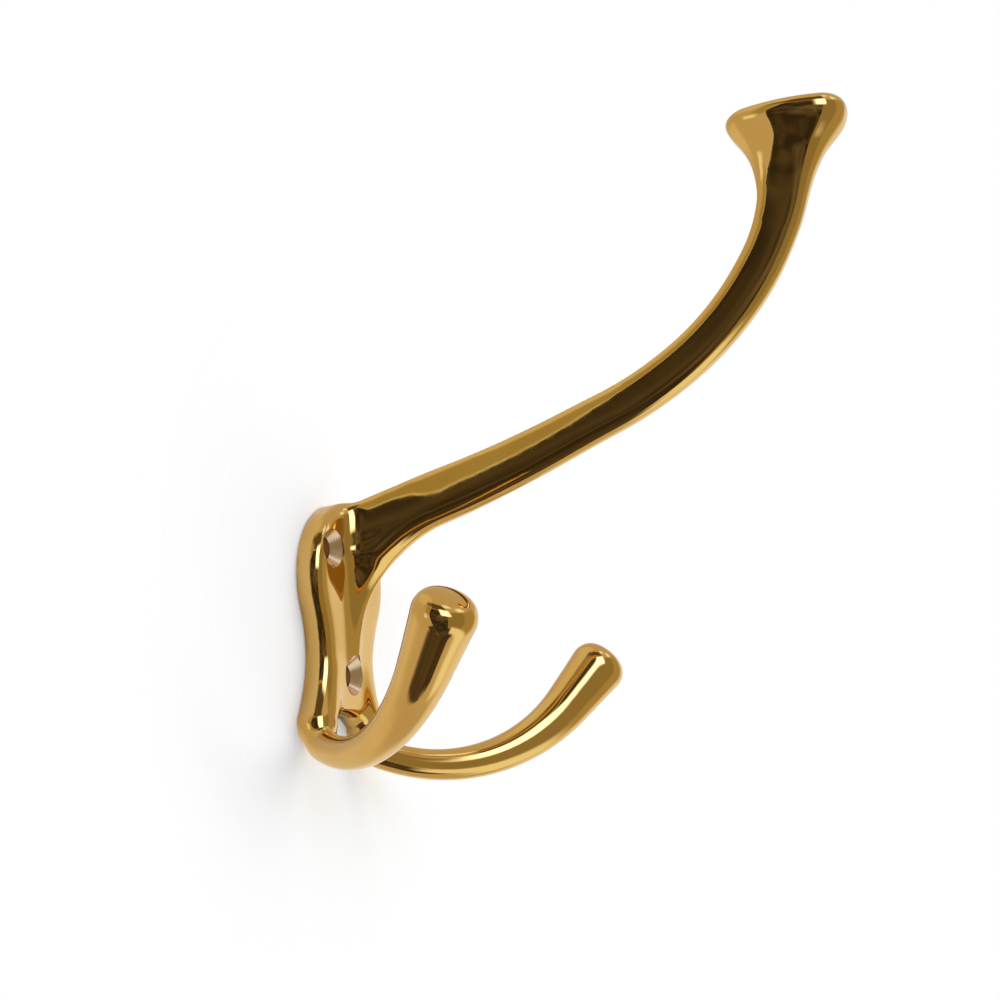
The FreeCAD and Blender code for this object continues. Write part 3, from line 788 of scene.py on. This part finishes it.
@dataclass(frozen=True)
class HandPolish:
    """The shared effect of hand polishing: soft ripples, a haze that comes and goes, and a change of tone.

    Each pattern is a noise with its scale, detail and roughness.
    """

    name: str = "hand_polish"
    cloud: tuple[float, float, float] = (70.0, 3.0, 0.55)
    cloud_range: tuple[float, float] = (0.35, 0.68)
    haze: tuple[float, float, float] = (320.0, 4.0, 0.6)
    haze_range: tuple[float, float] = (0.35, 0.7)
    broad: tuple[float, float, float] = (45.0, 1.0, 0.4)
    ripple: tuple[float, float, float] = (170.0, 2.0, 0.5)
    ripple_share: float = 0.12
    fine: tuple[float, float, float] = (900.0, 2.0, 0.5)
    fine_share: float = 0.004

    def group(self) -> bpy.types.NodeTree:
        """Build the group once.

        Inputs are the place, the two metal tones and the least and most roughness. Outputs are the
        colour, the roughness and the height of the ripples.

        Returns:
            The shader node group.
        """
        known = bpy.data.node_groups.get(self.name)
        if known:
            return known
        tree = bpy.data.node_groups.new(self.name, "ShaderNodeTree")
        nodes = Nodes(tree)
        for label, kind in (("Place", "NodeSocketVector"), ("Light Tone", "NodeSocketColor"),
                            ("Deep Tone", "NodeSocketColor"), ("Bright Roughness", "NodeSocketFloat"),
                            ("Hazy Roughness", "NodeSocketFloat")):
            tree.interface.new_socket(label, in_out="INPUT", socket_type=kind)
        for label, kind in (("Colour", "NodeSocketColor"), ("Roughness", "NodeSocketFloat"),
                            ("Height", "NodeSocketFloat")):
            tree.interface.new_socket(label, in_out="OUTPUT", socket_type=kind)
        given = nodes.add("NodeGroupInput").outputs
        place = given["Place"]
        cloud = nodes.noise(place, *self.cloud)
        haze = nodes.noise(place, *self.haze)
        ripple = nodes.math("MULTIPLY", nodes.noise(place, *self.ripple), self.ripple_share)
        fine = nodes.math("MULTIPLY", nodes.noise(place, *self.fine), self.fine_share)
        rough = nodes.add("ShaderNodeMapRange", {
            "Value": haze, "From Min": self.haze_range[0], "From Max": self.haze_range[1],
            "To Min": given["Bright Roughness"], "To Max": given["Hazy Roughness"]}).outputs["Result"]
        height = nodes.math("ADD", nodes.math("ADD", nodes.noise(place, *self.broad), ripple), fine)
        tone = nodes.mix(nodes.span(cloud, *self.cloud_range), given["Light Tone"], given["Deep Tone"])
        nodes.add("NodeGroupOutput", {"Colour": tone, "Roughness": rough, "Height": height})
        return tree


@dataclass(frozen=True)
class PolishedBrass:
    """Bright hand-polished brass."""

    name: str = "polished_brass"
    light_tone: tuple[float, ...] = (0.82, 0.515, 0.155, 1.0)
    deep_tone: tuple[float, ...] = (0.78, 0.475, 0.135, 1.0)
    roughness: tuple[float, float] = (0.035, 0.065)
    relief: float = 0.07           # strength of the relief
    relief_depth: float = 0.0012   # metres

    def height(self, nodes: Nodes, place: bpy.types.NodeSocket,
               polish: bpy.types.Node) -> bpy.types.NodeSocket:
        """Height of the relief: the ripples that hand polishing leaves."""
        return polish.outputs["Height"]

    def material(self) -> bpy.types.Material:
        """Build the material on the casting's own coordinates."""
        material = bpy.data.materials.new(self.name)
        material.use_nodes = True
        nodes = Nodes(material.node_tree)
        place = nodes.add("ShaderNodeTexCoord").outputs["Object"]
        polish = nodes.add("ShaderNodeGroup", node_tree=HandPolish().group())
        material.node_tree.links.new(place, polish.inputs["Place"])
        polish.inputs["Light Tone"].default_value = self.light_tone
        polish.inputs["Deep Tone"].default_value = self.deep_tone
        polish.inputs["Bright Roughness"].default_value = self.roughness[0]
        polish.inputs["Hazy Roughness"].default_value = self.roughness[1]
        bump = nodes.add("ShaderNodeBump", {"Height": self.height(nodes, place, polish),
                                            "Strength": self.relief, "Distance": self.relief_depth})
        shader = nodes.add("ShaderNodeBsdfPrincipled", {
            "Base Color": polish.outputs["Colour"], "Roughness": polish.outputs["Roughness"],
            "Metallic": 1.0, "Normal": bump.outputs["Normal"]})
        nodes.add("ShaderNodeOutputMaterial", {"Surface": shader.outputs[0]})
        return material


@dataclass(frozen=True)
class MachinedBrass(PolishedBrass):
    """The paler turned metal of the countersinks, with rings from the cutter."""

    name: str = "machined_brass"
    light_tone: tuple[float, ...] = (0.78, 0.56, 0.36, 1.0)
    deep_tone: tuple[float, ...] = (0.62, 0.42, 0.27, 1.0)
    roughness: tuple[float, float] = (0.16, 0.30)
    relief: float = 0.05
    relief_depth: float = 0.00006
    ring_pitch: float = 0.45       # millimetres between the cutter's rings
    holes: tuple[ScrewHole, ...] = ()

    def height(self, nodes: Nodes, place: bpy.types.NodeSocket,
               polish: bpy.types.Node) -> bpy.types.NodeSocket:
        """Height of the cutter's rings: a sine of the distance from the nearest hole's axis."""
        nearest = None
        for hole in self.holes:
            offset = nodes.add("ShaderNodeVectorMath", {0: place, 1: (hole.x * MM, 0.0, hole.z * MM)},
                               operation="SUBTRACT").outputs[0]
            level = nodes.add("ShaderNodeVectorMath", {0: offset, 1: (1.0, 0.0, 1.0)}, operation="MULTIPLY")
            away = nodes.add("ShaderNodeVectorMath", {0: level.outputs[0]}, operation="LENGTH")
            away = away.outputs["Value"]
            nearest = away if nearest is None else nodes.math("MINIMUM", nearest, away)
        turns = nodes.math("MULTIPLY", nearest, 2.0 * math.pi / (self.ring_pitch * MM))
        return nodes.math("SINE", turns)


@dataclass(frozen=True)
class LightPanel:
    """A soft-edged panel of light or shade far away, placed by its turn and its height in degrees.

    Turn goes round the hook from its left side (-X), positive towards the front.
    """

    turn: tuple[float, float]
    height: tuple[float, float]
    edge: float                    # half the width of the soft edge
    colour: tuple[float, float, float]
    lean: float = 0.0              # turn of the panel's sides for each degree of height above lean_from
    lean_from: float = 12.0
    both_ways: bool = False        # the same panel for turns to the front and to the wall
    mottle: float = 0.0            # how far its brightness wavers from place to place
    mottle_range: tuple[float, float] = (0.36, 0.66)

    def share(self, nodes: Nodes, turn: bpy.types.NodeSocket,
              height: bpy.types.NodeSocket) -> bpy.types.NodeSocket:
        """How far the panel covers a direction: 1 inside, 0 outside, smooth over its edges.

        Args:
            nodes: the world's nodes.
            turn: turn of the direction in degrees.
            height: height of the direction in degrees.

        Returns:
            The share as a value socket.
        """
        across = nodes.math("ABSOLUTE", turn) if self.both_ways else turn
        if self.lean:
            above = nodes.math("MAXIMUM", nodes.math("SUBTRACT", height, self.lean_from), 0.0)
            across = nodes.math("SUBTRACT", across, nodes.math("MULTIPLY", above, self.lean))
        share = 1.0
        for value, (low, high) in ((across, self.turn), (height, self.height)):
            share = nodes.math("MULTIPLY", share, nodes.span(value, low - self.edge, low + self.edge))
            share = nodes.math("MULTIPLY", share,
                               nodes.span(value, high - self.edge, high + self.edge, 1.0, 0.0))
        return share

    def tone(self, nodes: Nodes, cloud: bpy.types.NodeSocket) -> object:
        """The panel's colour, wavering with the cloud where the panel is mottled."""
        if not self.mottle:
            return (*self.colour, 1.0)
        low_tone, high_tone = ((*(c * (1.0 + sign * self.mottle) for c in self.colour), 1.0)
                               for sign in (-1.0, 1.0))
        return nodes.mix(nodes.span(cloud, *self.mottle_range), low_tone, high_tone)


@dataclass(frozen=True)
class Studio:
    """The studio: a beige room, dark where the camera stands, with soft panels, and a pale wall.

    A panel covers what the panels before it show.
    """

    room: tuple[float, float, float] = (0.60, 0.545, 0.45)
    panels: tuple[LightPanel, ...] = (
        # pale ceiling and pale floor towards the wall
        LightPanel((-120.0, -15.0), (44.0, 84.0), 8.0, (0.74, 0.70, 0.58)),
        LightPanel((-165.0, -80.0), (-50.0, 4.0), 12.0, (0.76, 0.72, 0.62)),
        # olive shade beside the dark place, on its left and twice on its right
        LightPanel((-33.0, -10.0), (6.0, 42.0), 6.0, (0.42, 0.37, 0.19)),
        LightPanel((95.0, 141.0), (-37.0, 38.0), 7.0, (0.44, 0.39, 0.22)),
        LightPanel((41.0, 98.0), (-40.0, 38.0), 5.0, (0.32, 0.275, 0.16)),
        # dark floor, then the dark place behind the camera with a light rim on its left
        LightPanel((-60.0, 92.0), (-87.0, -42.0), 5.0, (0.08, 0.062, 0.044), mottle=0.25),
        LightPanel((-21.3, 41.0), (-66.0, 38.0), 0.4, (0.75, 0.74, 0.62), lean=0.4),
        LightPanel((-20.5, 41.0), (-66.0, 38.0), 0.4, (0.062, 0.051, 0.038), lean=0.4, mottle=0.4),
        # shade that joins the two, and a lighter middle
        LightPanel((-44.0, -14.0), (-54.0, -34.0), 4.0, (0.08, 0.062, 0.044)),
        LightPanel((2.0, 41.0), (-10.0, 12.0), 7.0, (0.14, 0.12, 0.09), mottle=0.3),
        # dark ceiling above the lamp, soft on its left
        LightPanel((-34.0, 4.0), (46.0, 64.0), 9.0, (0.12, 0.095, 0.06)),
        LightPanel((-8.0, 50.0), (40.0, 68.0), 3.0, (0.12, 0.095, 0.06)),
        # the lamp, the bright floor in front, two small lamps on the right and one on the left
        LightPanel((21.0, 53.0), (13.5, 43.0), 5.0, (2.6, 3.0, 4.2)),
        LightPanel((54.0, 150.0), (-65.0, -38.0), 6.0, (1.0, 1.08, 1.1)),
        LightPanel((54.0, 88.0), (59.0, 70.0), 4.0, (1.1, 1.3, 1.7)),
        LightPanel((88.0, 112.0), (41.0, 55.0), 4.0, (1.1, 1.3, 1.7)),
        LightPanel((-41.0, -29.0), (-5.0, 10.0), 3.0, (1.0, 1.04, 1.08)),
    )
    backdrop: LightPanel = LightPanel((148.0, 190.0), (-45.0, 25.0), 9.0, (0.9, 0.9, 0.9), both_ways=True)
    cloud: tuple[float, float, float] = (4.0, 1.5, 0.5)    # noise of the mottle: scale, detail, roughness
    lamp_place: tuple[float, float, float] = (0.55, -0.75, 0.75)
    lamp_size: float = 1.9
    lamp_power: float = 11.0
    wall_paint: tuple[float, float, float] = (0.86, 0.88, 0.93)
    wall_half: float = 0.09
    wall_fade: tuple[float, float] = (0.45, 0.95)    # where the wall starts and ends to fade, of its half
    wall_near: float = 0.036       # how far from the middle the metal still mirrors the wall
    near_fade: float = 0.7         # where that mirror image starts to fade, of wall_near
    wall_clear: float = 0.0004     # gap behind the plate's back
    wall_glow: tuple[float, float] = (0.30, 0.06)    # own light of the wall: to the camera, to the metal

    def world(self) -> None:
        """Light from all round: white to the camera, and the room with its panels to the metal.

        The far side, which the camera sees behind the hook, is white to the metal's mirror too.
        """
        world = bpy.data.worlds.new("studio")
        world.use_nodes = True
        nodes = Nodes(world.node_tree)
        direction = nodes.add("ShaderNodeTexCoord").outputs["Generated"]
        x, y, z = nodes.add("ShaderNodeSeparateXYZ", {0: direction}).outputs
        turn = nodes.math("DEGREES", nodes.math("ARCTAN2", nodes.math("MULTIPLY", y, -1.0),
                                                nodes.math("MULTIPLY", x, -1.0)))
        height = nodes.math("DEGREES", nodes.math("ARCSINE", z))
        cloud = nodes.noise(direction, *self.cloud)
        colour: object = (*self.room, 1.0)
        for panel in self.panels:
            colour = nodes.mix(panel.share(nodes, turn, height), colour, panel.tone(nodes, cloud))
        path = nodes.add("ShaderNodeLightPath").outputs
        mirrored = nodes.math("ADD", path["Is Glossy Ray"], path["Is Transmission Ray"])
        far_side = nodes.math("MULTIPLY", mirrored, self.backdrop.share(nodes, turn, height))
        colour = nodes.mix(far_side, colour, self.backdrop.tone(nodes, cloud))
        seen = nodes.mix(path["Is Camera Ray"], colour, (1.0, 1.0, 1.0, 1.0))
        back = nodes.add("ShaderNodeBackground", {"Color": seen, "Strength": 1.0})
        nodes.add("ShaderNodeOutputWorld", {"Surface": back.outputs[0]})
        bpy.context.scene.world = world

    def lamp(self) -> None:
        """One soft box at the upper right that throws the plate's shadow on the wall."""
        data = bpy.data.lights.new("soft_box", "AREA")
        data.shape = "DISK"
        data.size = self.lamp_size
        data.energy = self.lamp_power
        lamp = bpy.data.objects.new("soft_box", data)
        lamp.visible_glossy = False
        bpy.context.scene.collection.objects.link(lamp)
        place = Vector(self.lamp_place)
        lamp.matrix_world = Matrix.Translation(place) @ place.to_track_quat("Z", "Y").to_matrix().to_4x4()

    def wall_material(self) -> bpy.types.Material:
        """Pale wall that keeps the hook's shadow, fades out to the white behind it and has no back."""
        material = bpy.data.materials.new("pale_wall")
        material.use_nodes = True
        nodes = Nodes(material.node_tree)
        place = nodes.add("ShaderNodeTexCoord").outputs["Object"]
        away = nodes.add("ShaderNodeVectorMath", {0: place}, operation="LENGTH").outputs["Value"]
        path = nodes.add("ShaderNodeLightPath").outputs
        mirrored = nodes.math("ADD", path["Is Glossy Ray"], path["Is Transmission Ray"])
        fade_from, fade_to = (share * self.wall_half for share in self.wall_fade)
        wide = nodes.span(away, fade_from, fade_to, 1.0, 0.0)
        close = nodes.span(away, self.near_fade * self.wall_near, self.wall_near, 1.0, 0.0)
        shown = nodes.add("ShaderNodeMix", {0: mirrored, 2: wide, 3: close}).outputs[0]
        front = nodes.math("SUBTRACT", 1.0, nodes.add("ShaderNodeNewGeometry").outputs["Backfacing"])
        paint = nodes.add("ShaderNodeBsdfDiffuse", {"Color": (*self.wall_paint, 1.0)})
        strength = nodes.math("ADD", nodes.math("MULTIPLY", path["Is Camera Ray"], self.wall_glow[0]),
                              nodes.math("MULTIPLY", mirrored, self.wall_glow[1]))
        glow = nodes.add("ShaderNodeEmission", {"Color": (1.0, 1.0, 1.0, 1.0), "Strength": strength})
        lit = nodes.add("ShaderNodeAddShader", {0: paint.outputs[0], 1: glow.outputs[0]})
        clear = nodes.add("ShaderNodeBsdfTransparent")
        mixed = nodes.add("ShaderNodeMixShader", {0: nodes.math("MULTIPLY", shown, front),
                                                  1: clear.outputs[0], 2: lit.outputs[0]})
        nodes.add("ShaderNodeOutputMaterial", {"Surface": mixed.outputs[0]})
        return material

    def wall(self) -> bpy.types.Object:
        """The wall that the plate is screwed to, as a square that faces the room."""
        half, back = self.wall_half, self.wall_clear
        corners = [(-half, back, -half), (half, back, -half), (half, back, half), (-half, back, half)]
        mesh = bpy.data.meshes.new("pale_wall")
        mesh.from_pydata(corners, [], [(0, 1, 2, 3)])
        mesh.materials.append(self.wall_material())
        wall = bpy.data.objects.new("pale_wall", mesh)
        bpy.context.scene.collection.objects.link(wall)
        return wall


@dataclass(frozen=True)
class PhotoCamera:
    """The camera at the photograph's angle: from the left, a little in front and below."""

    azimuth: float = math.radians(-70.0)
    elevation: float = math.radians(-12.0)
    roll: float = math.radians(-0.9)
    distance: float = 387.0        # millimetres from the origin's plane
    scale: float = 4.5             # pixels in a millimetre at that distance
    origin: tuple[float, float] = (330.0, 609.0)
    image: float = 1000.0
    sensor: float = 36.0
    clip: tuple[float, float] = (0.01, 20.0)

    def build(self) -> bpy.types.Object:
        """Make the camera and set it as the scene's."""
        a, e, r = self.azimuth, self.elevation, self.roll
        level = Vector((math.cos(a), math.sin(a), 0.0))
        back = Vector((math.sin(a) * math.cos(e), -math.cos(a) * math.cos(e), math.sin(e)))
        over = back.cross(level)
        right = level * math.cos(r) + over * math.sin(r)
        up = over * math.cos(r) - level * math.sin(r)
        across = (self.origin[0] - self.image / 2.0) / self.scale
        down = (self.origin[1] - self.image / 2.0) / self.scale
        place = (back * self.distance - right * across + up * down) * MM
        data = bpy.data.cameras.new("photo_camera")
        data.sensor_width = self.sensor
        data.lens = self.distance * self.scale / self.image * self.sensor
        data.clip_start, data.clip_end = self.clip
        camera = bpy.data.objects.new("photo_camera", data)
        bpy.context.scene.collection.objects.link(camera)
        turn = Matrix((right, up, back)).transposed().to_4x4()
        camera.matrix_world = Matrix.Translation(place) @ turn
        bpy.context.scene.camera = camera
        return camera


def main() -> None:
    """Build the casting, the studio and the camera."""
    logging.basicConfig(level=logging.INFO, format="%(name)s: %(message)s")
    bpy.context.scene.view_settings.view_transform = "Standard"
    casting = HookCasting()
    piece = casting.build(PolishedBrass().material(), MachinedBrass(holes=casting.holes).material())
    log.info("%s: %d vertices, %d faces", piece.name, len(piece.data.vertices), len(piece.data.polygons))
    studio = Studio()
    studio.world()
    studio.lamp()
    log.info("%s stands behind the plate", studio.wall().name)
    log.info("%s at the photograph's angle", PhotoCamera().build().name)


if __name__ == "__main__":
    main()
